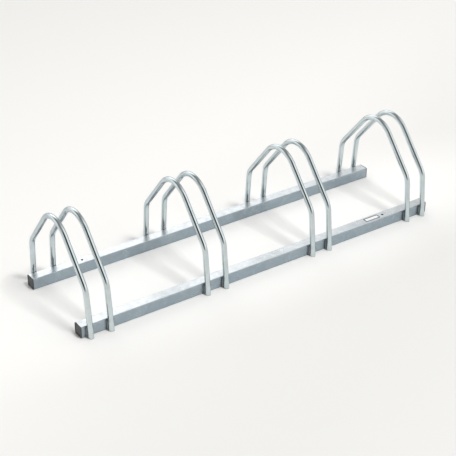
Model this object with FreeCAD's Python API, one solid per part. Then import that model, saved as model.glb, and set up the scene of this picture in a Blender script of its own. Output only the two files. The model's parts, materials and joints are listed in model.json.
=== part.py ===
"""Floor bike rack: two box-section rails, eight bent tube hoops in four pairs, and end caps.

Sizes are in millimetres. X runs along the rails, Y from the front rail to the rear rail, and
Z up from the floor. The origin is on the floor, at the middle of the rack.

Each bay takes one wheel between its two hoops. A hoop is one bent tube: its legs stand outside
the rails, lean in a little as they rise, and are welded to the rails' outer faces.
"""
import FreeCAD
import Part
import math
import os

# Rails: square steel tube, one at the front and one at the rear
RAIL_SIZE = 35.0
RAIL_WALL = 1.5
RAIL_CORNER_RADIUS = 3.0
RAILS_OUTER_WIDTH = 324.0
RAIL_END_MARGIN = 21.5

# Bays: one wheel each, between a left and a right hoop
BAY_COUNT = 4
BAY_PITCH = 376.0
WHEEL_GAP = 47.0

# Hoops: round steel tube with three bends
TUBE_DIAMETER = 16.0
TUBE_WALL = 1.5
SHOULDER_HEIGHT = 144.5
SHOULDER_INSET = 2.5
SHOULDER_RADIUS = 56.0
SLOPE_ANGLE = 49.4
CROWN_RADIUS = 80.0

# Welds: a bead down each side of each leg, against the rail's outer face
WELD_RADIUS = 3.5
WELD_SEAT = 1.5
WELD_BITE = 1.0
WELD_FLOOR_CLEARANCE = 1.0
SEATING_CLEARANCE = 0.02

# Floor fixing: one hole in each rail, at opposite ends of the rack
FIXING_HOLE_DIAMETER = 8.0
FIXING_HOLE_FROM_END = 165.0

# End caps: moulded plugs pushed into the rail ends
CAP_FLANGE = 3.0
CAP_EDGE_RADIUS = 0.8
CAP_RECESS_DEPTH = 0.6
CAP_RECESS_BORDER = 4.0
PLUG_LENGTH = 22.0
PLUG_WALL = 2.0
PLUG_CLEARANCE = 0.4
GRIP_RIB_COUNT = 3
GRIP_RIB_THICKNESS = 1.4
GRIP_RIB_CLEARANCE = 0.05

# Blank label on the front rail, beside the fixing hole
LABEL_LENGTH = 55.0
LABEL_WIDTH = 19.0
LABEL_THICKNESS = 0.2
LABEL_CORNER_RADIUS = 1.5
LABEL_GAP_FROM_HOLE = 11.5

# Worked out from the sizes above
TUBE_RADIUS = TUBE_DIAMETER / 2
HOOP_SPACING = WHEEL_GAP + TUBE_DIAMETER
RAIL_LENGTH = (BAY_COUNT - 1) * BAY_PITCH + HOOP_SPACING + 2 * RAIL_END_MARGIN
RAIL_CENTRE_Y = (RAILS_OUTER_WIDTH - RAIL_SIZE) / 2
RAIL_FACE_Y = RAILS_OUTER_WIDTH / 2
RAIL_BORE = RAIL_SIZE - 2 * RAIL_WALL
RAIL_BORE_RADIUS = RAIL_CORNER_RADIUS - RAIL_WALL
FIXING_HOLE_X = RAIL_LENGTH / 2 - FIXING_HOLE_FROM_END
SHOULDER_Y = RAIL_FACE_Y - SHOULDER_INSET

X_AXIS = FreeCAD.Vector(1, 0, 0)
Y_AXIS = FreeCAD.Vector(0, 1, 0)
Z_AXIS = FreeCAD.Vector(0, 0, 1)
ORIGIN = FreeCAD.Vector(0, 0, 0)


def point(x, y, z):
    """A point or a direction."""
    return FreeCAD.Vector(x, y, z)


def square_bar(length, size, corner_radius):
    """Square bar along +X from x = 0, centred on the X axis, with its long edges rounded."""
    bar = Part.makeBox(length, size, size, point(0, -size / 2, -size / 2))
    long_edges = [edge for edge in bar.Edges if abs(edge.tangentAt(edge.FirstParameter).x) > 0.5]
    return bar.makeFillet(corner_radius, long_edges)


def rounded_plate(length, width, thickness, corner_radius):
    """Flat plate with its base on z = 0, centred on the Z axis, with its corners rounded."""
    plate = Part.makeBox(length, width, thickness, point(-length / 2, -width / 2, 0))
    corners = [edge for edge in plate.Edges if abs(edge.tangentAt(edge.FirstParameter).z) > 0.5]
    return plate.makeFillet(corner_radius, corners)


def rounded_path(corners, radii):
    """Wire of straight runs through the corners, each inner corner turned by a tangent arc."""
    edges = []
    run_start = corners[0]
    for before, corner, after, radius in zip(corners, corners[1:], corners[2:], radii):
        to_before = (before - corner).normalize()
        to_after = (after - corner).normalize()
        half_angle = to_before.getAngle(to_after) / 2
        setback = radius / math.tan(half_angle)
        arc_start = corner + to_before * setback
        arc_end = corner + to_after * setback
        to_centre = (to_before + to_after).normalize()
        arc_middle = corner + to_centre * (radius / math.sin(half_angle) - radius)
        edges.append(Part.LineSegment(run_start, arc_start).toShape())
        edges.append(Part.Arc(arc_start, arc_middle, arc_end).toShape())
        run_start = arc_end
    edges.append(Part.LineSegment(run_start, corners[-1]).toShape())
    return Part.Wire(edges)


def round_sweep(path, radius, start, heading):
    """Solid round bar along a path that starts at a point with a heading."""
    section = Part.Wire(Part.makeCircle(radius, start, heading))
    return path.makePipeShell([section], True, False)


def leg_lean():
    """How far a leg leans from upright, in radians, where it bears on the rail's rounded edge."""
    edge_y = RAIL_FACE_Y - RAIL_CORNER_RADIUS
    edge_z = RAIL_SIZE - RAIL_CORNER_RADIUS
    across = edge_y - SHOULDER_Y
    down = SHOULDER_HEIGHT - edge_z
    reach = RAIL_CORNER_RADIUS + TUBE_RADIUS + SEATING_CLEARANCE
    return math.atan2(across, down) + math.asin(reach / math.hypot(across, down))


def leg_axis_y(height):
    """Distance of a leg's axis from the rack's middle plane, at a height."""
    return SHOULDER_Y + (SHOULDER_HEIGHT - height) * math.tan(leg_lean())


def hoop_centres():
    """Name and X position of each hoop, bay by bay from the left."""
    centres = []
    for bay in range(BAY_COUNT):
        bay_x = (bay - (BAY_COUNT - 1) / 2) * BAY_PITCH
        centres.append((f"{bay + 1}_left", bay_x - HOOP_SPACING / 2))
        centres.append((f"{bay + 1}_right", bay_x + HOOP_SPACING / 2))
    return centres


def make_rail(side, hole_side):
    """One rail: a square tube along X, on the floor, drilled through for its floor fixing.

    side is -1 for the front rail and 1 for the rear one. hole_side is -1 for a hole near the
    left end and 1 for one near the right end.
    """
    rail = square_bar(RAIL_LENGTH, RAIL_SIZE, RAIL_CORNER_RADIUS)
    rail = rail.cut(square_bar(RAIL_LENGTH, RAIL_BORE, RAIL_BORE_RADIUS))
    rail.translate(point(-RAIL_LENGTH / 2, side * RAIL_CENTRE_Y, RAIL_SIZE / 2))
    hole_base = point(hole_side * FIXING_HOLE_X, side * RAIL_CENTRE_Y, 0)
    return rail.cut(Part.makeCylinder(FIXING_HOLE_DIAMETER / 2, RAIL_SIZE, hole_base, Z_AXIS))


def make_hoop_bar(radius):
    """The hoop's course in the plane x = 0, as a solid bar cut off level with the floor."""
    below_floor = -TUBE_DIAMETER
    crown_height = SHOULDER_HEIGHT + SHOULDER_Y * math.tan(math.radians(SLOPE_ANGLE))
    front_foot = point(0, -leg_axis_y(below_floor), below_floor)
    front_shoulder = point(0, -SHOULDER_Y, SHOULDER_HEIGHT)
    crown = point(0, 0, crown_height)
    rear_shoulder = point(0, SHOULDER_Y, SHOULDER_HEIGHT)
    rear_foot = point(0, leg_axis_y(below_floor), below_floor)
    corners = [front_foot, front_shoulder, crown, rear_shoulder, rear_foot]
    path = rounded_path(corners, [SHOULDER_RADIUS, CROWN_RADIUS, SHOULDER_RADIUS])
    bar = round_sweep(path, radius, front_foot, front_shoulder - front_foot)
    reach = leg_axis_y(below_floor) + TUBE_DIAMETER
    waste = Part.makeBox(
        2 * TUBE_DIAMETER, 2 * reach, 2 * TUBE_DIAMETER, point(-TUBE_DIAMETER, -reach, -2 * TUBE_DIAMETER)
    )
    return bar.cut(waste)


def make_hoop():
    """One hoop in the plane x = 0: a bent tube, open at both feet."""
    return make_hoop_bar(TUBE_RADIUS).cut(make_hoop_bar(TUBE_RADIUS - TUBE_WALL))


def weld_point(height, side):
    """Centre of the bead's section beside a rear leg, at a height. side is -1 or 1 along X."""
    leg_y = leg_axis_y(height)
    gap_to_rail = leg_y - TUBE_RADIUS - RAIL_FACE_Y
    bead_y = RAIL_FACE_Y + WELD_SEAT + gap_to_rail / 2
    reach = TUBE_RADIUS + WELD_RADIUS - WELD_BITE
    return point(side * math.sqrt(reach**2 - (leg_y - bead_y) ** 2), bead_y, height)


def make_bead(side):
    """One round-ended weld bead beside a rear leg in the plane x = 0, before it is trimmed."""
    low = weld_point(WELD_RADIUS + WELD_FLOOR_CLEARANCE, side)
    high = weld_point(RAIL_SIZE - RAIL_CORNER_RADIUS - WELD_RADIUS, side)
    bead = Part.makeCylinder(WELD_RADIUS, low.distanceToPoint(high), low, high - low)
    for end in (low, high):
        bead = bead.fuse(Part.makeSphere(WELD_RADIUS, end))
    return bead.removeSplitter()


def make_hoop_welds():
    """The four beads of a hoop in the plane x = 0, two at each foot, shaped by leg and rail."""
    hoop_bar = make_hoop_bar(TUBE_RADIUS)
    rail_face = Part.makeBox(
        4 * TUBE_DIAMETER, RAIL_SIZE, RAIL_SIZE, point(-2 * TUBE_DIAMETER, RAIL_FACE_Y - RAIL_SIZE, 0)
    )
    beads = []
    for side in (-1, 1):
        rear_bead = make_bead(side).cut(hoop_bar).cut(rail_face)
        beads.append(rear_bead)
        beads.append(rear_bead.mirror(ORIGIN, Y_AXIS))
    return Part.makeCompound(beads)


def make_cap():
    """An end cap for a rail end at x = 0: a flange outside it, and a ribbed hollow plug inside."""
    flange = square_bar(CAP_FLANGE, RAIL_SIZE, RAIL_CORNER_RADIUS)
    rim = [edge for edge in flange.Edges if edge.BoundBox.XMin > CAP_FLANGE / 2]
    flange = flange.makeFillet(CAP_EDGE_RADIUS, rim)
    recess_size = RAIL_SIZE - 2 * CAP_RECESS_BORDER
    recess = square_bar(CAP_RECESS_DEPTH, recess_size, RAIL_CORNER_RADIUS)
    recess.translate(point(CAP_FLANGE - CAP_RECESS_DEPTH, 0, 0))
    plug_size = RAIL_BORE - 2 * PLUG_CLEARANCE
    plug = square_bar(PLUG_LENGTH, plug_size, RAIL_BORE_RADIUS)
    plug.translate(point(-PLUG_LENGTH, 0, 0))
    cap = flange.cut(recess).fuse(plug)
    rib_size = RAIL_BORE - 2 * GRIP_RIB_CLEARANCE
    for number in range(GRIP_RIB_COUNT):
        rib = square_bar(GRIP_RIB_THICKNESS, rib_size, RAIL_BORE_RADIUS)
        rib_step = PLUG_LENGTH / GRIP_RIB_COUNT
        rib.translate(point(-(number + 0.5) * rib_step - GRIP_RIB_THICKNESS / 2, 0, 0))
        cap = cap.fuse(rib)
    hollow = square_bar(PLUG_LENGTH, plug_size - 2 * PLUG_WALL, RAIL_BORE_RADIUS)
    hollow.translate(point(-PLUG_LENGTH, 0, 0))
    return cap.cut(hollow).removeSplitter()


def place_cap(cap, side, end):
    """A copy of the cap in a rail. side is -1 at the front, end is -1 at the left."""
    placed = cap if end > 0 else cap.mirror(ORIGIN, X_AXIS)
    placed = placed.copy()
    placed.translate(point(end * RAIL_LENGTH / 2, side * RAIL_CENTRE_Y, RAIL_SIZE / 2))
    return placed


def make_label():
    """The blank label, flat on the front rail's top face, on the inner side of the hole."""
    label = rounded_plate(LABEL_LENGTH, LABEL_WIDTH, LABEL_THICKNESS, LABEL_CORNER_RADIUS)
    label_x = FIXING_HOLE_X - FIXING_HOLE_DIAMETER / 2 - LABEL_GAP_FROM_HOLE - LABEL_LENGTH / 2
    label.translate(point(label_x, -RAIL_CENTRE_Y, RAIL_SIZE))
    return label


def moved_along_x(shape, distance):
    """A copy of a shape, moved along X."""
    copy = shape.copy()
    copy.translate(X_AXIS * distance)
    return copy


def make_rack():
    """Every piece of the rack, by name."""
    pieces = {
        "front_rail": make_rail(-1, 1),
        "rear_rail": make_rail(1, -1),
    }
    hoop = make_hoop()
    welds = make_hoop_welds()
    for name, hoop_x in hoop_centres():
        pieces[f"hoop_{name}"] = moved_along_x(hoop, hoop_x)
        pieces[f"weld_beads_{name}"] = moved_along_x(welds, hoop_x)
    cap = make_cap()
    pieces["cap_front_left"] = place_cap(cap, -1, -1)
    pieces["cap_front_right"] = place_cap(cap, -1, 1)
    pieces["cap_rear_left"] = place_cap(cap, 1, -1)
    pieces["cap_rear_right"] = place_cap(cap, 1, 1)
    pieces["blank_label"] = make_label()
    return pieces


os.makedirs("parts", exist_ok=True)
for piece_name, piece in make_rack().items():
    piece.exportStep(f"parts/{piece_name}.step")
    box = piece.optimalBoundingBox()
    print(
        f"{piece_name:22s} solids {len(piece.Solids)}  volume {piece.Volume:10.1f}"
        f"  x {box.XMin:8.2f} {box.XMax:8.2f}  y {box.YMin:8.2f} {box.YMax:8.2f}"
        f"  z {box.ZMin:7.2f} {box.ZMax:7.2f}  valid {piece.isValid()}"
    )
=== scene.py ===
"""Floor bike rack: the finish of every piece, a plain pale studio and the camera.

All sizes are in metres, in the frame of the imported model: X runs along the rails, Y from the
front rail to the rear rail, and Z up from the floor. The origin is on the floor, mid-rack.
"""

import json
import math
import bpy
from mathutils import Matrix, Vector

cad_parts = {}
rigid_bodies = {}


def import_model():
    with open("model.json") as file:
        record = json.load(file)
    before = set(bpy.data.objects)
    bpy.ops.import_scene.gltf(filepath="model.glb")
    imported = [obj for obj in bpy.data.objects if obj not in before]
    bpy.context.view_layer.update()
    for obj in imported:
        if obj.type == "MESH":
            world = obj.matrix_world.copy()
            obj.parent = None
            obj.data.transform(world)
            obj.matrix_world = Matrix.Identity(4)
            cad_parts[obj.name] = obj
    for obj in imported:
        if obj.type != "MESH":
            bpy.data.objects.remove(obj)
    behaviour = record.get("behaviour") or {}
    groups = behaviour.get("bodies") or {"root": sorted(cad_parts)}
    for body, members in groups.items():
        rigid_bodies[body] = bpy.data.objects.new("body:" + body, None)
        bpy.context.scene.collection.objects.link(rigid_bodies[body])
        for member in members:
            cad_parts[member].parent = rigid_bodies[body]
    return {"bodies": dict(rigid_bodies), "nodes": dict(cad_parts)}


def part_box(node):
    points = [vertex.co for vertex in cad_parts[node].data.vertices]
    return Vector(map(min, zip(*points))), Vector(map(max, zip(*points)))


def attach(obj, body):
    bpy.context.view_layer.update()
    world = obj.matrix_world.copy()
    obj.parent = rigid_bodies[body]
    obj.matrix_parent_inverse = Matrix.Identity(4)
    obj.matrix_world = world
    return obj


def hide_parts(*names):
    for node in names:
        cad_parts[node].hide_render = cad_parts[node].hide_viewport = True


bl_info = {
    "name": "Floor bike rack",
    "version": (1, 0, 0),
    "blender": (4, 5, 0),
    "location": "View3D > Sidebar > Bike rack",
    "description": "Makes the rack's hoops and welds and gives every piece its finish",
    "category": "Object",
}

import bpy
from bpy.props import FloatProperty, FloatVectorProperty, IntProperty, PointerProperty
from mathutils import Vector

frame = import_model()

MM = 0.001
BODY = "root"

RAIL_NODES = sorted(name for name in frame["nodes"] if name.endswith("_rail"))
HOOP_NODES = sorted(name for name in frame["nodes"] if name.startswith("hoop_"))
CAP_NODES = sorted(name for name in frame["nodes"] if name.startswith("cap_"))
LABEL_NODE = "blank_label"


def start_up_objects():
    """The objects that Blender's own start-up scene holds, which aren't part of the rack."""
    kept = set(frame["nodes"].values()) | set(frame["bodies"].values())
    return [thing for thing in bpy.data.objects if thing not in kept]


for start_up_object in start_up_objects():
    bpy.data.objects.remove(start_up_object)
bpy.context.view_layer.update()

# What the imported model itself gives
RAIL_LOW, RAIL_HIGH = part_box("front_rail")
HOOP_LOW, HOOP_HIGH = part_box(HOOP_NODES[0])
RAIL_FACE_Y = -RAIL_LOW.y
RAIL_SIZE = RAIL_HIGH.z - RAIL_LOW.z
TUBE_DIAMETER = HOOP_HIGH.x - HOOP_LOW.x

# How finely the shapes are made
BEND_STEPS = 40
BEAD_RINGS = 84
BEAD_SIDES = 20
WELD_UNEVENNESS = 0.35
MERGE_DISTANCE = 0.005 * MM

# Patches per metre of the patterns in the zinc
FINE_LINES = 1400.0
BROAD_LINES = 260.0
CLOUDS = 14.0
PATCHES = 60.0
GRAIN = 900.0
SCRATCHES = 420.0


# ---------------------------------------------------------------- node trees


def plug(tree, socket, value):
    """Links a socket to another one, or sets its value."""
    if isinstance(value, bpy.types.NodeSocket):
        tree.links.new(value, socket)
    else:
        socket.default_value = value


def add_node(tree, kind, inputs=None, **settings):
    """One node, with its settings, and its inputs by name or by number."""
    node = tree.nodes.new(kind)
    for name, value in settings.items():
        setattr(node, name, value)
    for key, value in (inputs or {}).items():
        plug(tree, node.inputs[key], value)
    return node


def calc(tree, operation, *values, clamp=False):
    """The result of one number operation."""
    node = add_node(tree, "ShaderNodeMath", dict(enumerate(values)), operation=operation)
    node.use_clamp = clamp
    return node.outputs[0]


def vector_calc(tree, operation, *values):
    """The result of one vector operation, a number for a dot product or a length."""
    inputs = dict(enumerate(values))
    if operation == "SCALE":
        inputs = {0: values[0], "Scale": values[1]}
    node = add_node(tree, "ShaderNodeVectorMath", inputs, operation=operation)
    return node.outputs["Value" if operation in ("DOT_PRODUCT", "LENGTH") else "Vector"]


def vector_of(tree, x, y, z):
    """A vector of three numbers."""
    return add_node(tree, "ShaderNodeCombineXYZ", {0: x, 1: y, 2: z}).outputs[0]


def numbers_of(tree, vector):
    """The three numbers of a vector."""
    return add_node(tree, "ShaderNodeSeparateXYZ", {0: vector}).outputs


def remap(tree, value, low, high, to_low=0.0, to_high=1.0):
    """A number moved smoothly from one range to another, held at the ends."""
    inputs = {"Value": value, 1: low, 2: high, 3: to_low, 4: to_high}
    return add_node(tree, "ShaderNodeMapRange", inputs, interpolation_type="SMOOTHSTEP").outputs[0]


# ---------------------------------------------------------------- geometry trees


def new_shape_tree(name, sizes):
    """An empty Geometry Nodes tree whose inputs are named, with their socket types."""
    tree = bpy.data.node_groups.new(name, "GeometryNodeTree")
    tree.interface.new_socket(name="Geometry", in_out="OUTPUT", socket_type="NodeSocketGeometry")
    for size_name, socket_type in sizes.items():
        tree.interface.new_socket(name=size_name, in_out="INPUT", socket_type=socket_type)
    return tree, tree.nodes.new("NodeGroupInput").outputs


def finish_shape_tree(tree, mesh, material):
    """Ends a tree: its result is made real and gets its material."""
    real = add_node(tree, "GeometryNodeRealizeInstances", {0: mesh}).outputs[0]
    painted = add_node(tree, "GeometryNodeSetMaterial", {0: real, "Material": material}).outputs[0]
    add_node(tree, "NodeGroupOutput", {0: painted})


def grow(name, tree, values):
    """Runs a Geometry Nodes tree and keeps what it makes as the plain mesh of a new piece."""
    piece = bpy.data.objects.new(name, bpy.data.meshes.new(name))
    bpy.context.scene.collection.objects.link(piece)
    modifier = piece.modifiers.new("Shape", "NODES")
    modifier.node_group = tree
    for socket in tree.interface.items_tree:
        if socket.in_out == "INPUT":
            modifier[socket.identifier] = values[socket.name]
    graph = bpy.context.evaluated_depsgraph_get()
    shown = piece.evaluated_get(graph)
    mesh = bpy.data.meshes.new_from_object(shown, preserve_all_data_layers=True, depsgraph=graph)
    piece.modifiers.remove(modifier)
    piece.data = mesh
    if not mesh.polygons:
        raise RuntimeError(f"{name} came out empty")
    return piece


def hoop_path(tree, given):
    """The tube's centre line in the plane x = 0: a polyline with its three corners turned."""
    corners = [
        vector_of(tree, 0.0, calc(tree, "MULTIPLY", given["Foot Y"], -1.0), 0.0),
        vector_of(tree, 0.0, calc(tree, "MULTIPLY", given["Shoulder Y"], -1.0), given["Shoulder Height"]),
        vector_of(tree, 0.0, 0.0, given["Crown Height"]),
        vector_of(tree, 0.0, given["Shoulder Y"], given["Shoulder Height"]),
        vector_of(tree, 0.0, given["Foot Y"], 0.0),
    ]
    index = tree.nodes.new("GeometryNodeInputIndex").outputs[0]
    choice = add_node(tree, "GeometryNodeIndexSwitch", data_type="VECTOR")
    while len(choice.index_switch_items) < len(corners):
        choice.index_switch_items.new()
    plug(tree, choice.inputs["Index"], index)
    for number, corner in enumerate(corners):
        plug(tree, choice.inputs[str(number)], corner)
    line = add_node(tree, "GeometryNodeMeshLine", {"Count": len(corners)}).outputs[0]
    curve = add_node(tree, "GeometryNodeMeshToCurve", {0: line}).outputs[0]
    bent = add_node(tree, "GeometryNodeSetPosition", {0: curve, "Position": choice.outputs[0]}).outputs[0]
    at_crown = add_node(
        tree, "FunctionNodeCompare", {2: index, 3: len(corners) // 2}, data_type="INT", operation="EQUAL"
    ).outputs[0]
    radius = add_node(
        tree,
        "GeometryNodeSwitch",
        {0: at_crown, 1: given["Shoulder Radius"], 2: given["Crown Radius"]},
        input_type="FLOAT",
    ).outputs[0]
    turned = add_node(
        tree, "GeometryNodeFilletCurve", {0: bent, "Count": BEND_STEPS, "Radius": radius}, mode="POLY"
    )
    return turned.outputs[0]


def hoop_tree():
    """A hoop: a round tube with a real wall along the hoop's path, cut level with the floor.

    Its skin is one closed sheet of rings: out along the tube's outside, and back along its bore.
    The attribute "unrolled" holds each point's place on the straight tube, before it was bent.
    """
    names = ["Hoop X", "Foot Y", "Shoulder Y", "Shoulder Height", "Crown Height", "Shoulder Radius"]
    names += ["Crown Radius", "Tube Radius", "Tube Wall", "Ring Spacing", "Pattern Start"]
    sizes = {name: "NodeSocketFloat" for name in names}
    sizes["Sides"] = "NodeSocketInt"
    sizes["Finish"] = "NodeSocketMaterial"
    tree, given = new_shape_tree("Hoop tube", sizes)
    path = hoop_path(tree, given)
    length = add_node(tree, "GeometryNodeCurveLength", {0: path}).outputs[0]
    steps = calc(tree, "CEIL", calc(tree, "DIVIDE", length, given["Ring Spacing"]))
    rings = calc(tree, "ADD", steps, 1.0)
    all_rings = calc(tree, "MULTIPLY", rings, 2.0)
    points_round = calc(tree, "ADD", given["Sides"], 1.0)
    sheet = add_node(
        tree,
        "GeometryNodeMeshGrid",
        {"Vertices X": calc(tree, "ADD", all_rings, 1.0), "Vertices Y": points_round},
    ).outputs[0]

    index = tree.nodes.new("GeometryNodeInputIndex").outputs[0]
    row = calc(tree, "FLOOR", calc(tree, "DIVIDE", calc(tree, "ADD", index, 0.5), points_round))
    place_round = calc(tree, "SUBTRACT", index, calc(tree, "MULTIPLY", row, points_round))
    ring = calc(tree, "MODULO", row, all_rings)
    in_bore = calc(tree, "GREATER_THAN", ring, calc(tree, "SUBTRACT", rings, 0.5))
    way_back = calc(tree, "SUBTRACT", calc(tree, "SUBTRACT", all_rings, 1.0), ring)
    step = add_node(
        tree, "ShaderNodeMix", {0: in_bore, 2: ring, 3: way_back}, data_type="FLOAT"
    ).outputs[0]
    along = calc(tree, "MULTIPLY", calc(tree, "DIVIDE", step, steps), length)
    radius = calc(tree, "SUBTRACT", given["Tube Radius"], calc(tree, "MULTIPLY", in_bore, given["Tube Wall"]))
    turn = calc(tree, "MULTIPLY", calc(tree, "DIVIDE", place_round, given["Sides"]), math.tau)

    spot = add_node(tree, "GeometryNodeSampleCurve", {"Curves": path, "Length": along}, mode="LENGTH")
    centre, heading = spot.outputs["Position"], spot.outputs["Tangent"]
    outward = vector_calc(tree, "CROSS_PRODUCT", (1.0, 0.0, 0.0), heading)
    across = calc(tree, "MULTIPLY", radius, calc(tree, "COSINE", turn))
    out = calc(tree, "MULTIPLY", radius, calc(tree, "SINE", turn))
    skin = vector_calc(tree, "ADD", centre, vector_calc(tree, "SCALE", outward, out))
    skin = vector_calc(tree, "ADD", skin, vector_of(tree, across, 0.0, 0.0))

    from_end = calc(tree, "PINGPONG", step, calc(tree, "MULTIPLY", steps, 0.5))
    at_end = calc(tree, "LESS_THAN", from_end, 0.25)
    height = numbers_of(tree, skin)[2]
    drop = calc(tree, "DIVIDE", calc(tree, "MULTIPLY", at_end, height), numbers_of(tree, heading)[2])
    level = vector_calc(tree, "SUBTRACT", skin, vector_calc(tree, "SCALE", heading, drop))
    place = vector_calc(tree, "ADD", level, vector_of(tree, given["Hoop X"], 0.0, 0.0))

    unrolled = vector_of(tree, across, out, calc(tree, "ADD", along, given["Pattern Start"]))
    marked = add_node(
        tree,
        "GeometryNodeStoreNamedAttribute",
        {0: sheet, "Name": "unrolled", "Value": unrolled},
        data_type="FLOAT_VECTOR",
        domain="POINT",
    ).outputs[0]
    tube = add_node(tree, "GeometryNodeSetPosition", {0: marked, "Position": place}).outputs[0]
    closed = add_node(tree, "GeometryNodeMergeByDistance", {0: tube, "Distance": MERGE_DISTANCE}).outputs[0]
    smooth = add_node(tree, "GeometryNodeSetShadeSmooth", {0: closed}).outputs[0]
    finish_shape_tree(tree, smooth, given["Finish"])
    return tree


def bead_tree():
    """The four weld beads of a hoop, rippled and mirrored to each leg and side."""
    names = ("Hoop X", "Bead Radius", "Ripple Pitch", "Ripple Depth")
    sizes = {name: "NodeSocketFloat" for name in names}
    sizes.update({name: "NodeSocketVector" for name in ("Low End", "High End")})
    sizes.update({"Seed": "NodeSocketFloat", "Finish": "NodeSocketMaterial"})
    tree, given = new_shape_tree("Weld beads", sizes)
    beads = []
    for number, (side_x, side_y) in enumerate(((1, 1), (-1, 1), (1, -1), (-1, -1))):
        flip = (float(side_x), float(side_y), 1.0)
        low = vector_calc(tree, "MULTIPLY", given["Low End"], flip)
        high = vector_calc(tree, "MULTIPLY", given["High End"], flip)
        line = add_node(tree, "GeometryNodeCurvePrimitiveLine", {"Start": low, "End": high}).outputs[0]
        path = add_node(tree, "GeometryNodeResampleCurve", {0: line, "Count": BEAD_RINGS}).outputs[0]
        walked = add_node(tree, "GeometryNodeSplineParameter").outputs["Length"]
        whole = add_node(tree, "GeometryNodeCurveLength", {0: line}).outputs[0]
        to_end = calc(tree, "MINIMUM", walked, calc(tree, "SUBTRACT", whole, walked))
        inset = calc(tree, "SUBTRACT", 1.0, calc(tree, "DIVIDE", to_end, given["Bead Radius"]), clamp=True)
        rounding = calc(tree, "SQRT", calc(tree, "SUBTRACT", 1.0001, calc(tree, "MULTIPLY", inset, inset)))
        seed = calc(tree, "ADD", calc(tree, "MULTIPLY", given["Seed"], 4.0), float(number))
        uneven = add_node(
            tree,
            "ShaderNodeTexNoise",
            {"W": seed, "Vector": add_node(tree, "GeometryNodeInputPosition").outputs[0], "Scale": 160.0},
            noise_dimensions="4D",
        ).outputs[0]
        drift = calc(tree, "MULTIPLY", calc(tree, "SUBTRACT", uneven, 0.5), WELD_UNEVENNESS)
        phase = calc(tree, "ADD", calc(tree, "DIVIDE", walked, given["Ripple Pitch"]), drift)
        crest = calc(tree, "ABSOLUTE", calc(tree, "SINE", calc(tree, "MULTIPLY", phase, math.pi)))
        ripple = calc(tree, "MULTIPLY", calc(tree, "SUBTRACT", 1.0, crest), given["Ripple Depth"])
        body = calc(tree, "SUBTRACT", calc(tree, "ADD", 0.93, drift), ripple)
        radius = calc(tree, "MULTIPLY", calc(tree, "MULTIPLY", body, rounding), given["Bead Radius"])
        round_section = {"Resolution": BEAD_SIDES, "Radius": 1.0}
        section = add_node(tree, "GeometryNodeCurvePrimitiveCircle", round_section)
        sweep = add_node(tree, "GeometryNodeCurveToMesh", {"Fill Caps": True})
        sized = add_node(tree, "GeometryNodeSetCurveRadius", {0: path, "Radius": radius}).outputs[0]
        plug(tree, sweep.inputs["Curve"], sized)
        plug(tree, sweep.inputs["Profile Curve"], section.outputs[0])
        if "Scale" in sweep.inputs:
            plug(tree, sweep.inputs["Scale"], add_node(tree, "GeometryNodeInputRadius").outputs[0])
        beads.append(sweep.outputs[0])
    joined = tree.nodes.new("GeometryNodeJoinGeometry")
    for bead in beads:
        tree.links.new(bead, joined.inputs[0])
    offset = vector_of(tree, given["Hoop X"], 0.0, 0.0)
    moved = add_node(tree, "GeometryNodeTransform", {0: joined.outputs[0], "Translation": offset}).outputs[0]
    smooth = add_node(tree, "GeometryNodeSetShadeSmooth", {0: moved}).outputs[0]
    finish_shape_tree(tree, smooth, given["Finish"])
    return tree


# ---------------------------------------------------------------- finishes


def new_material(name):
    """An empty material and its tree, with a Principled shader joined to the output."""
    material = bpy.data.materials.new(name)
    material.use_nodes = True
    tree = material.node_tree
    tree.nodes.clear()
    shader = tree.nodes.new("ShaderNodeBsdfPrincipled")
    output = tree.nodes.new("ShaderNodeOutputMaterial")
    tree.links.new(shader.outputs[0], output.inputs[0])
    return material, tree, shader


def object_place(tree):
    """Where a point is on the rack, in metres."""
    return tree.nodes.new("ShaderNodeTexCoord").outputs["Object"]


def unrolled_place(tree):
    """Where a point was on the straight tube, in metres, with Z along the tube."""
    return add_node(tree, "ShaderNodeAttribute", attribute_name="unrolled").outputs["Vector"]


def noise(tree, place, scale, detail=3.0, stretch=None, roughness=0.5):
    """Cloudy noise from 0 to 1. scale is in patches per metre, and stretch scales each axis."""
    if stretch:
        place = vector_calc(tree, "MULTIPLY", place, stretch)
    inputs = {"Vector": place, "Scale": scale, "Detail": detail, "Roughness": roughness}
    return add_node(tree, "ShaderNodeTexNoise", inputs).outputs[0]


def mix_colours(tree, share, first, second):
    """A colour between two, by share."""
    inputs = {0: share, 6: first, 7: second}
    return add_node(tree, "ShaderNodeMix", inputs, data_type="RGBA").outputs[2]


def opaque(colour):
    """A colour with its alpha, as a shader's colour socket takes it."""
    return (*colour, 1.0)


def depth_in_rail(tree, place):
    """How far a point of a rail lies under the rail's outer faces."""
    _, y, z = numbers_of(tree, place)
    across = calc(tree, "SUBTRACT", calc(tree, "ABSOLUTE", y), RAIL_FACE_Y - RAIL_SIZE / 2)
    upward = calc(tree, "SUBTRACT", z, RAIL_SIZE / 2)
    from_middle = calc(tree, "MAXIMUM", calc(tree, "ABSOLUTE", across), calc(tree, "ABSOLUTE", upward))
    return calc(tree, "SUBTRACT", RAIL_SIZE / 2, from_middle)


EDGE_TINT = (0.62, 0.66, 0.70, 1.0)


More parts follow.
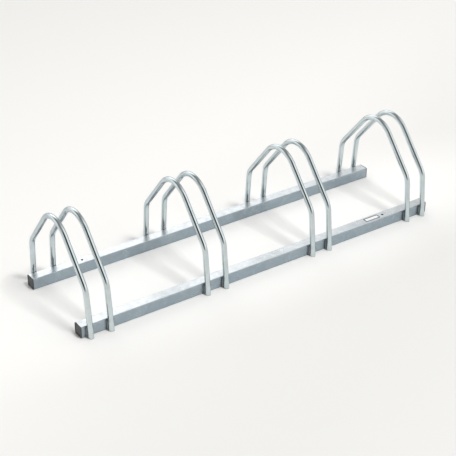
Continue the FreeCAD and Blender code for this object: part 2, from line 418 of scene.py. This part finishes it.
def zinc_finish(name, place_of, lengthwise, colour, tint, roughness, line_depth, bloom=0.0, painted_highlight_colour=None):
    """Zinc plating on drawn steel: long draw lines, cloudy passivation, fine grain and scratches.

    lengthwise is the axis, 0 to 2, that the draw lines follow in the pattern's own coordinates.
    bloom is the share of dull white zinc salts. The colour for a rail's upper face is a painted
    highlight, lighter where the light from above falls. A rail's inside is darkened: painted shade
    in the hollow tube.
    """
    material, tree, shader = new_material(name)
    place = place_of(tree)
    along_lines = tuple(0.02 if axis == lengthwise else 1.0 for axis in range(3))
    along_scratch = tuple(0.045 if axis == lengthwise else 1.0 for axis in range(3))
    lines = noise(tree, place, FINE_LINES, 2.0, along_lines)
    broad_lines = noise(tree, place, BROAD_LINES, 2.0, along_lines)
    clouds = noise(tree, place, CLOUDS, 4.0)
    patches = noise(tree, place, PATCHES, 3.0)
    grain = noise(tree, place, GRAIN, 2.0)
    scratch = remap(tree, noise(tree, place, SCRATCHES, 1.0, along_scratch), 0.72, 0.80)

    passivation = remap(tree, clouds, 0.35, 0.68)
    tinted = mix_colours(tree, passivation, opaque(colour), opaque(tint))
    if painted_highlight_colour:
        # Painted highlight: a rail's upper face gets a lighter colour, standing in for the light from above.
        painted_top_highlight = remap(tree, numbers_of(tree, place)[2], RAIL_SIZE - 0.8 * MM, RAIL_SIZE - 0.1 * MM)
        tinted = mix_colours(tree, painted_top_highlight, tinted, opaque(painted_highlight_colour))
    dulling = calc(tree, "MULTIPLY", remap(tree, patches, 0.3, 0.75), 0.09)
    lining = calc(tree, "MULTIPLY", calc(tree, "SUBTRACT", broad_lines, 0.5), 0.10)
    shade = calc(tree, "ADD", calc(tree, "SUBTRACT", 1.0, dulling), lining)
    if painted_highlight_colour:
        # Painted shade: deep inside a rail the colour falls to 12 per cent, for the shade in the hollow tube.
        inside = depth_in_rail(tree, place)
        shade = calc(tree, "MULTIPLY", shade, remap(tree, inside, 0.9 * MM, 1.5 * MM, 1.0, 0.12))
    shaded = vector_calc(tree, "SCALE", tinted, shade)
    plug(tree, shader.inputs["Base Color"], shaded)
    shader.inputs["Metallic"].default_value = 1.0 - bloom
    shader.inputs["Specular Tint"].default_value = EDGE_TINT

    spread = calc(tree, "MULTIPLY", calc(tree, "SUBTRACT", patches, 0.5), 0.22)
    streaks = calc(tree, "MULTIPLY", calc(tree, "SUBTRACT", lines, 0.5), 0.12)
    scuffs = calc(tree, "MULTIPLY", scratch, 0.16)
    rough = calc(tree, "ADD", calc(tree, "ADD", calc(tree, "ADD", spread, streaks), scuffs), roughness)
    plug(tree, shader.inputs["Roughness"], calc(tree, "MAXIMUM", rough, 0.05))

    relief = calc(tree, "ADD", lines, calc(tree, "MULTIPLY", grain, 0.5))
    relief = calc(tree, "SUBTRACT", relief, calc(tree, "MULTIPLY", scratch, 0.8))
    bump = add_node(tree, "ShaderNodeBump", {"Height": relief, "Distance": line_depth, "Strength": 1.0})
    plug(tree, shader.inputs["Normal"], bump.outputs[0])
    return material


def cap_finish(colour, roughness):
    """Black moulded polyethylene: a fine eroded texture, with faint flow streaks down the face."""
    material, tree, shader = new_material("cap_plastic_finish")
    place = object_place(tree)
    pebbles = noise(tree, place, 1500.0, 2.0)
    streaks = noise(tree, place, 420.0, 2.0, (1.0, 1.0, 0.06))
    dust = remap(tree, noise(tree, place, 90.0, 4.0), 0.45, 0.8)
    lighter = tuple(min(1.0, channel * 2.6 + 0.012) for channel in colour)
    share = calc(tree, "ADD", calc(tree, "MULTIPLY", streaks, 0.5), calc(tree, "MULTIPLY", dust, 0.35))
    plug(tree, shader.inputs["Base Color"], mix_colours(tree, share, opaque(colour), opaque(lighter)))
    rough = calc(tree, "ADD", calc(tree, "MULTIPLY", streaks, 0.14), roughness)
    plug(tree, shader.inputs["Roughness"], rough)
    bump = add_node(tree, "ShaderNodeBump", {"Height": pebbles, "Distance": 0.05 * MM, "Strength": 0.8})
    plug(tree, shader.inputs["Normal"], bump.outputs[0])
    return material


def label_finish(paper, border, border_width):
    """A blank white film label with a thin dark border and slightly soiled edges."""
    material, tree, shader = new_material("label_film_finish")
    low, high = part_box(LABEL_NODE)
    centre, half = (low + high) / 2, (high - low) / 2
    place = object_place(tree)
    from_centre = vector_calc(tree, "SUBTRACT", place, tuple(centre))
    offset = numbers_of(tree, vector_calc(tree, "ABSOLUTE", from_centre))
    to_end = calc(tree, "SUBTRACT", half.x, offset[0])
    to_side = calc(tree, "SUBTRACT", half.y, offset[1])
    to_edge = calc(tree, "MINIMUM", to_end, to_side)
    inside = remap(tree, to_edge, border_width - 0.1 * MM, border_width + 0.1 * MM)
    dirt = remap(tree, to_edge, 0.0, 8 * MM, 0.25, 0.06)
    soiled = calc(tree, "MULTIPLY", noise(tree, place, 180.0, 4.0), dirt)
    dirty_paper = tuple(channel * 0.6 for channel in paper)
    film = mix_colours(tree, soiled, opaque(paper), opaque(dirty_paper))
    plug(tree, shader.inputs["Base Color"], mix_colours(tree, inside, opaque(border), film))
    gloss = noise(tree, place, 700.0, 2.0)
    plug(tree, shader.inputs["Roughness"], remap(tree, gloss, 0.2, 0.8, 0.28, 0.42))
    bump = add_node(tree, "ShaderNodeBump", {"Height": gloss, "Distance": 0.02 * MM, "Strength": 0.5})
    plug(tree, shader.inputs["Normal"], bump.outputs[0])
    return material


def paint(node_name, material):
    """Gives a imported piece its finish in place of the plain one."""
    node = frame["nodes"][node_name]
    for material_slot in node.material_slots:
        material_slot.material = material


# ---------------------------------------------------------------- settings


def length_property(name, description, default):
    """A size that a user may change, in metres."""
    return FloatProperty(
        name=name, description=description, default=default, min=0.0, precision=5, subtype="DISTANCE",
        unit="LENGTH",
    )


def angle_property(name, description, degrees):
    """An angle that a user may change."""
    return FloatProperty(
        name=name, description=description, default=math.radians(degrees), subtype="ANGLE"
    )


def colour_property(name, description, default):
    """A colour that a user may change."""
    return FloatVectorProperty(
        name=name, description=description, default=default, size=3, min=0.0, max=1.0, subtype="COLOR"
    )


def share_property(name, description, default):
    """A number from 0 to 1 that a user may change."""
    return FloatProperty(
        name=name, description=description, default=default, min=0.0, max=1.0, subtype="FACTOR"
    )


class RackHoopSettings(bpy.types.PropertyGroup):
    """Sizes of the hoops."""

    tube_diameter: length_property("Tube Diameter", "Outside diameter of the tube", TUBE_DIAMETER)
    tube_wall: length_property("Tube Wall", "Wall thickness of the tube", 1.5 * MM)
    shoulder_height: length_property("Shoulder Height", "Height of the corner above a leg", 144.5 * MM)
    shoulder_inset: length_property(
        "Shoulder Inset", "How far a shoulder stands in from the rail's face", 2.5 * MM
    )
    shoulder_radius: length_property("Shoulder Radius", "Bend radius of the shoulders", 56 * MM)
    crown_radius: length_property("Crown Radius", "Bend radius of the crown", 80 * MM)
    slope_angle: angle_property("Slope Angle", "Rise of the two slopes", 49.4)
    rail_corner: length_property("Rail Corner", "Corner radius of the rails that the legs bear on", 3 * MM)
    seat_gap: length_property("Seat Gap", "Clearance between a leg and the rail", 0.02 * MM)
    ring_spacing: length_property("Ring Spacing", "Distance between the rings of the tube's mesh", 3.2 * MM)
    sides: IntProperty(name="Sides", description="Faces round the tube", default=40, min=8, max=96)


class RackWeldSettings(bpy.types.PropertyGroup):
    """Sizes of the weld beads."""

    bead_radius: length_property("Bead Radius", "Radius of a bead", 3.5 * MM)
    seat: length_property("Seat", "How far a bead's centre stands off the rail's face", 1.5 * MM)
    bite: length_property("Bite", "How far a bead reaches into the leg", 1.0 * MM)
    floor_gap: length_property("Floor Gap", "Clearance between a bead and the floor", 1.0 * MM)
    ripple_pitch: length_property("Ripple Pitch", "Distance between a bead's ripples", 1.9 * MM)
    ripple_depth: share_property("Ripple Depth", "Depth of the ripples, as a share of the radius", 0.16)


class RackFinishSettings(bpy.types.PropertyGroup):
    """Colours and gloss of the finishes."""

    hoop_colour: colour_property("Hoop Zinc", "Bright zinc of the hoops", (0.65, 0.705, 0.72))
    hoop_tint: colour_property("Hoop Tint", "Passivation tint of the hoops", (0.60, 0.68, 0.70))
    hoop_roughness: share_property("Hoop Roughness", "How dull the hoops are", 0.12)
    rail_colour: colour_property("Rail Zinc", "Satin zinc of the rails", (0.342, 0.408, 0.455))
    rail_tint: colour_property("Rail Tint", "Passivation tint of the rails", (0.363, 0.431, 0.470))
    # Painted highlight: the lighter colour of the rails' upper faces stands in for the light from above.
    rail_top: colour_property("Rail Top", "Rubbed zinc on top of the rails", (0.73, 0.765, 0.785))
    rail_roughness: share_property("Rail Roughness", "How dull the rails are", 0.30)
    rail_bloom: share_property("Rail Bloom", "Share of dull white zinc salts on the rails", 0.18)
    # Partly painted shade: the weld metal's own dull zinc, darkened further to stand for the shade beside
    # each leg.
    weld_colour: colour_property("Weld Zinc", "Plated weld metal", (0.245, 0.262, 0.285))
    weld_tint: colour_property("Weld Tint", "Tint of the plated weld metal", (0.315, 0.32, 0.325))
    weld_roughness: share_property("Weld Roughness", "How dull the welds are", 0.42)
    cap_colour: colour_property("Cap Plastic", "Black plastic of the end caps", (0.030, 0.030, 0.032))
    cap_roughness: share_property("Cap Roughness", "How dull the end caps are", 0.42)
    label_paper: colour_property("Label Film", "White of the blank label", (0.86, 0.88, 0.88))
    label_border: colour_property("Label Border", "Line round the blank label", (0.03, 0.03, 0.033))
    label_border_width: length_property("Border Width", "Width of the label's border line", 3.0 * MM)


class RackStageSettings(bpy.types.PropertyGroup):
    """The studio and the camera."""

    # Painted light on the floor: the near, far and middle colours stand in for how the light falls.
    floor_near: colour_property("Floor Near", "Floor colour in front of the rack", (0.775, 0.768, 0.75))
    floor_middle: colour_property("Floor Middle", "Floor colour under the rack", (0.965, 0.958, 0.94))
    floor_far: colour_property("Floor Far", "Floor colour behind the rack", (0.94, 0.93, 0.91))
    floor_azimuth: angle_property("Floor Azimuth", "Where the floor is far, from +Y towards +X", -20)
    floor_radius: length_property("Floor Radius", "Radius of the round floor", 24.0)
    cove_level: share_property("Cove Level", "Level of the cove that joins the floor to the walls", 0.86)
    wall_level: share_property("Wall Level", "Level of the room's walls", 0.52)
    ceiling_level: share_property("Ceiling Level", "Level of the room's ceiling", 0.40)
    key_power: FloatProperty(
        name="Key Light", description="Power of the soft light", default=235.0, unit="POWER"
    )
    key_size: length_property("Key Size", "Diameter of the soft light", 1.6)
    key_distance: length_property("Key Distance", "From the rack to the soft light", 7.0)
    key_azimuth: angle_property("Key Azimuth", "The soft light's turn from +Y towards +X", 165)
    key_elevation: angle_property("Key Elevation", "The soft light's height above the horizon", 64)
    azimuth: angle_property("Azimuth", "Camera's turn from +Y towards +X", 34.303)
    elevation: angle_property("Elevation", "Camera's height above the horizon", 29.982)
    distance: length_property("Distance", "Camera to the point it looks at", 3.4595)
    target: FloatVectorProperty(
        name="Target", description="Point that the camera looks at",
        default=(-31.6 * MM, 2.8 * MM, 73.2 * MM), size=3, subtype="XYZ", unit="LENGTH",
    )
    lens: FloatProperty(name="Lens", description="Focal length", default=91.07, unit="CAMERA")


# ---------------------------------------------------------------- pieces


def leg_lean(hoop):
    """How far a leg leans from upright, in radians, where it bears on the rail's rounded edge."""
    across = hoop.shoulder_inset - hoop.rail_corner
    down = hoop.shoulder_height - (RAIL_SIZE - hoop.rail_corner)
    reach = hoop.rail_corner + hoop.tube_diameter / 2 + hoop.seat_gap
    return math.atan2(across, down) + math.asin(reach / math.hypot(across, down))


def leg_axis_y(hoop, height):
    """Distance of a leg's axis from the rack's middle plane, at a height."""
    shoulder_y = RAIL_FACE_Y - hoop.shoulder_inset
    return shoulder_y + (hoop.shoulder_height - height) * math.tan(leg_lean(hoop))


def weld_point(hoop, weld, height):
    """Centre of a bead's section beside a rear leg, at a height, on the leg's +X side."""
    leg_y = leg_axis_y(hoop, height)
    gap_to_rail = leg_y - hoop.tube_diameter / 2 - RAIL_FACE_Y
    bead_y = RAIL_FACE_Y + weld.seat + gap_to_rail / 2
    reach = hoop.tube_diameter / 2 + weld.bead_radius - weld.bite
    return Vector((math.sqrt(reach**2 - (leg_y - bead_y) ** 2), bead_y, height))


def hoop_x(node_name):
    """Where along the rack a hoop stands."""
    low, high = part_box(node_name)
    return (low.x + high.x) / 2


def settle(piece, slot_name, *node_names):
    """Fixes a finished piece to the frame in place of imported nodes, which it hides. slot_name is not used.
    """
    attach(piece, BODY)
    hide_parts(*node_names)


class RACK_OT_make_hoops(bpy.types.Operator):
    """Make the bent tube hoops"""

    bl_idname = "bike_rack.make_hoops"
    bl_label = "Make Hoops"

    def execute(self, context):
        hoop = context.scene.rack_hoops
        finish = context.scene.rack_finish
        material = zinc_finish(
            "hoop_zinc_finish", unrolled_place, 2, finish.hoop_colour, finish.hoop_tint,
            finish.hoop_roughness, 0.004 * MM,
        )
        shoulder_y = RAIL_FACE_Y - hoop.shoulder_inset
        tree = hoop_tree()
        for number, node_name in enumerate(HOOP_NODES):
            values = {
                "Hoop X": hoop_x(node_name),
                "Foot Y": leg_axis_y(hoop, 0.0),
                "Shoulder Y": shoulder_y,
                "Shoulder Height": hoop.shoulder_height,
                "Crown Height": hoop.shoulder_height + shoulder_y * math.tan(hoop.slope_angle),
                "Shoulder Radius": hoop.shoulder_radius,
                "Crown Radius": hoop.crown_radius,
                "Tube Radius": hoop.tube_diameter / 2,
                "Tube Wall": hoop.tube_wall,
                "Ring Spacing": hoop.ring_spacing,
                "Pattern Start": float(number),
                "Sides": hoop.sides,
                "Finish": material,
            }
            settle(grow(f"{node_name}_tube", tree, values), "hoop_zinc", node_name)
        return {"FINISHED"}


class RACK_OT_make_welds(bpy.types.Operator):
    """Make the rippled weld beads beside the legs"""

    bl_idname = "bike_rack.make_welds"
    bl_label = "Make Welds"

    def execute(self, context):
        hoop = context.scene.rack_hoops
        weld = context.scene.rack_welds
        finish = context.scene.rack_finish
        # The dark weld colour is partly the weld's own zinc and partly painted shade beside the legs.
        material = zinc_finish(
            "weld_zinc_finish", object_place, 2, finish.weld_colour, finish.weld_tint, finish.weld_roughness,
            0.02 * MM,
        )
        low_height = weld.bead_radius + weld.floor_gap
        high_height = RAIL_SIZE - hoop.rail_corner - weld.bead_radius
        low_end = weld_point(hoop, weld, low_height)
        high_end = weld_point(hoop, weld, high_height)
        past_end = (high_end - low_end).normalized() * weld.bead_radius
        tree = bead_tree()
        for number, node_name in enumerate(HOOP_NODES):
            place_name = node_name.removeprefix("hoop_")
            values = {
                "Hoop X": hoop_x(node_name),
                "Bead Radius": weld.bead_radius,
                "Ripple Pitch": weld.ripple_pitch,
                "Ripple Depth": weld.ripple_depth,
                "Low End": low_end - past_end,
                "High End": high_end + past_end,
                "Seed": float(number),
                "Finish": material,
            }
            settle(grow(f"weld_ripples_{place_name}", tree, values), "weld_zinc", f"weld_beads_{place_name}")
        return {"FINISHED"}


class RACK_OT_finish_rails(bpy.types.Operator):
    """Give the rails their satin zinc"""

    bl_idname = "bike_rack.finish_rails"
    bl_label = "Finish Rails"

    def execute(self, context):
        finish = context.scene.rack_finish
        # The rails' upper faces get a painted highlight, and their insides get painted shade.
        material = zinc_finish(
            "rail_zinc_finish", object_place, 0, finish.rail_colour, finish.rail_tint, finish.rail_roughness,
            0.006 * MM, finish.rail_bloom, finish.rail_top,
        )
        for node_name in RAIL_NODES:
            paint(node_name, material)
        return {"FINISHED"}


class RACK_OT_finish_caps(bpy.types.Operator):
    """Give the end caps their black plastic"""

    bl_idname = "bike_rack.finish_caps"
    bl_label = "Finish Caps"

    def execute(self, context):
        finish = context.scene.rack_finish
        material = cap_finish(finish.cap_colour, finish.cap_roughness)
        for node_name in CAP_NODES:
            paint(node_name, material)
        return {"FINISHED"}


class RACK_OT_finish_label(bpy.types.Operator):
    """Give the blank label its film and border"""

    bl_idname = "bike_rack.finish_label"
    bl_label = "Finish Label"

    def execute(self, context):
        finish = context.scene.rack_finish
        material = label_finish(finish.label_paper, finish.label_border, finish.label_border_width)
        paint(LABEL_NODE, material)
        return {"FINISHED"}


# ---------------------------------------------------------------- studio


# Painted light: the floor's colour runs from darker in front to lighter behind, standing in for the light's
# fall-off.
PAINTED_FLOOR_FALLOFF_FROM_TO = (-0.7, 0.6)  # in metres along the floor's azimuth, near colour to far
UNDER_RACK_SHAPE = (0.55, 2.0, 1.0)  # squeezes distances to the rack's long outline
# Painted pool of light: the floor is palest under the rack, which lightens the rack's soft shadow there.
PAINTED_LIGHT_POOL_FROM_TO = (0.22, 0.85)  # squeezed metres, the floor's middle colour to its others
FLOOR_FADES_FROM_TO = (0.3, 0.9)  # shares of the floor's radius
COVE_FROM_TO = (0.04, 0.16)  # heights of a direction, cove to wall
WALL_FROM_TO = (0.2, 0.75)  # heights of a direction, wall to ceiling
LEAST_LEVEL = 0.02


def make_floor(stage):
    """A round matt floor with painted light, palest under the rack, that fades into the room far from it."""
    bpy.ops.mesh.primitive_circle_add(vertices=96, radius=stage.floor_radius, fill_type="NGON")
    floor = bpy.context.object
    floor.name = "studio_floor"
    material, tree, shader = new_material("studio_floor_finish")
    place = object_place(tree)
    # Painted light: darker in front of the rack and lighter behind it, standing in for the light's fall-off.
    depth = vector_calc(tree, "DOT_PRODUCT", place, tuple(direction_to(stage.floor_azimuth, 0.0)))
    share = remap(tree, depth, *PAINTED_FLOOR_FALLOFF_FROM_TO)
    colour = mix_colours(tree, share, opaque(stage.floor_near), opaque(stage.floor_far))
    # Painted pool of light: palest under the rack, lightening the rack's soft shadow on the floor.
    from_rack = vector_calc(tree, "LENGTH", vector_calc(tree, "MULTIPLY", place, UNDER_RACK_SHAPE))
    under = remap(tree, from_rack, *PAINTED_LIGHT_POOL_FROM_TO, 1.0, 0.0)
    plug(tree, shader.inputs["Base Color"], mix_colours(tree, under, colour, opaque(stage.floor_middle)))
    shader.inputs["Roughness"].default_value = 1.0
    shader.inputs["Specular IOR Level"].default_value = 0.0
    reach = vector_calc(tree, "LENGTH", place)
    fade = (stage.floor_radius * part for part in FLOOR_FADES_FROM_TO)
    plug(tree, shader.inputs["Alpha"], remap(tree, reach, *fade, 1.0, 0.0))
    floor.data.materials.append(material)


def direction_to(azimuth, elevation):
    """The direction at an azimuth, from +Y towards +X, and an elevation above the floor."""
    level = math.cos(elevation)
    return Vector((math.sin(azimuth) * level, math.cos(azimuth) * level, math.sin(elevation)))


def lobe(tree, direction, azimuth, elevation, inner, outer):
    """How much a direction lies in a round patch of the room: 1 inside, falling to 0. In degrees."""
    centre = direction_to(math.radians(azimuth), math.radians(elevation))
    facing = vector_calc(tree, "DOT_PRODUCT", direction, tuple(centre))
    return remap(tree, facing, math.cos(math.radians(outer)), math.cos(math.radians(inner)))


# Soft patches of the room: azimuth and elevation of the middle, radius of the even part and of
# the whole patch, all in degrees, and what the patch adds to the room's level
ROOM_PATCHES = (
    (-26.0, 12.0, 16.0, 54.0, 0.72),  # the pale wall behind the rack
    (20.0, 32.0, 6.0, 27.0, 1.3),  # a lamp on that wall
    (130.0, 44.0, 12.0, 47.0, 0.76),  # a large soft box, high on the right
    (-96.0, 10.0, 6.0, 30.0, 0.34),  # a pale panel on the left
    (160.0, 0.0, 20.0, 52.0, 0.30),  # the lit wall in front, low down
    (-150.0, 36.0, 12.0, 40.0, -0.42),  # the unlit corner behind the camera
    (-60.0, 58.0, 8.0, 34.0, -0.16),  # the unlit ceiling on the left
    (-26.0, 44.0, 6.0, 20.0, -0.45),  # and its far end
)


def make_room(stage):
    """A plain pale room: a white cove, walls, a dimmer ceiling and a few broad soft patches."""
    world = bpy.data.worlds.new("studio_room")
    bpy.context.scene.world = world
    world.use_nodes = True
    tree = world.node_tree
    tree.nodes.clear()
    direction = tree.nodes.new("ShaderNodeTexCoord").outputs["Generated"]
    height = numbers_of(tree, direction)[2]
    level = remap(tree, height, *WALL_FROM_TO, stage.wall_level, stage.ceiling_level)
    for azimuth, elevation, inner, outer, change in ROOM_PATCHES:
        share = lobe(tree, direction, azimuth, elevation, inner, outer)
        level = calc(tree, "ADD", level, calc(tree, "MULTIPLY", share, change))
    cove = remap(tree, height, *COVE_FROM_TO, stage.cove_level, 0.0)
    level = calc(tree, "MAXIMUM", level, calc(tree, "MAXIMUM", cove, LEAST_LEVEL))
    light = {"Color": (1.0, 1.0, 0.995, 1.0), "Strength": level}
    background = add_node(tree, "ShaderNodeBackground", light)
    output = tree.nodes.new("ShaderNodeOutputWorld")
    tree.links.new(background.outputs[0], output.inputs[0])


def make_key_light(stage):
    """A soft round light, high up in front of the rack and to its right."""
    lamp = bpy.data.lights.new("key_light", "AREA")
    lamp.shape = "DISK"
    lamp.size = stage.key_size
    lamp.energy = stage.key_power
    light = bpy.data.objects.new("key_light", lamp)
    light.location = direction_to(stage.key_azimuth, stage.key_elevation) * stage.key_distance
    light.rotation_euler = light.location.to_track_quat("Z", "Y").to_euler()
    light.visible_glossy = False  # the room's own patches are what the zinc mirrors
    bpy.context.scene.collection.objects.link(light)


def make_camera(stage):
    """The camera, at the photograph's viewing angle."""
    ahead = direction_to(stage.azimuth, -stage.elevation)
    camera = bpy.data.objects.new("camera", bpy.data.cameras.new("camera"))
    camera.data.lens = stage.lens
    camera.data.sensor_width = 36.0
    camera.location = Vector(stage.target) - ahead * stage.distance
    camera.rotation_euler = ahead.to_track_quat("-Z", "Y").to_euler()
    bpy.context.scene.collection.objects.link(camera)
    bpy.context.scene.camera = camera


class RACK_OT_make_stage(bpy.types.Operator):
    """Make the pale floor, the soft light and the camera"""

    bl_idname = "bike_rack.make_stage"
    bl_label = "Make Stage"

    def execute(self, context):
        stage = context.scene.rack_stage
        make_floor(stage)
        make_room(stage)
        make_key_light(stage)
        make_camera(stage)
        context.scene.view_settings.view_transform = "Standard"
        return {"FINISHED"}


# ---------------------------------------------------------------- panel and registration


class RACK_PT_panel(bpy.types.Panel):
    """Sizes, finishes and making of the bike rack"""

    bl_idname = "RACK_PT_panel"
    bl_label = "Bike Rack"
    bl_space_type = "VIEW_3D"
    bl_region_type = "UI"
    bl_category = "Bike rack"

    def draw(self, context):
        for group_name in SETTINGS:
            box = self.layout.box()
            group = getattr(context.scene, group_name)
            for property_name in group.__annotations__:
                box.prop(group, property_name)
        for operator in OPERATORS:
            self.layout.operator(operator.bl_idname)


SETTINGS = {
    "rack_hoops": RackHoopSettings,
    "rack_welds": RackWeldSettings,
    "rack_finish": RackFinishSettings,
    "rack_stage": RackStageSettings,
}
OPERATORS = (
    RACK_OT_make_hoops,
    RACK_OT_make_welds,
    RACK_OT_finish_rails,
    RACK_OT_finish_caps,
    RACK_OT_finish_label,
    RACK_OT_make_stage,
)
CLASSES = (*SETTINGS.values(), *OPERATORS, RACK_PT_panel)


def register():
    """Makes the settings, the operators and the panel known to Blender."""
    for one_class in CLASSES:
        bpy.utils.register_class(one_class)
    for group_name, group in SETTINGS.items():
        setattr(bpy.types.Scene, group_name, PointerProperty(type=group))


def unregister():
    """Takes them away again."""
    for group_name in SETTINGS:
        delattr(bpy.types.Scene, group_name)
    for one_class in reversed(CLASSES):
        bpy.utils.unregister_class(one_class)


def main():
    """Makes every piece."""
    register()
    bpy.ops.bike_rack.make_hoops()
    bpy.ops.bike_rack.make_welds()
    bpy.ops.bike_rack.finish_rails()
    bpy.ops.bike_rack.finish_caps()
    bpy.ops.bike_rack.finish_label()
    bpy.ops.bike_rack.make_stage()


if __name__ == "__main__":
    main()
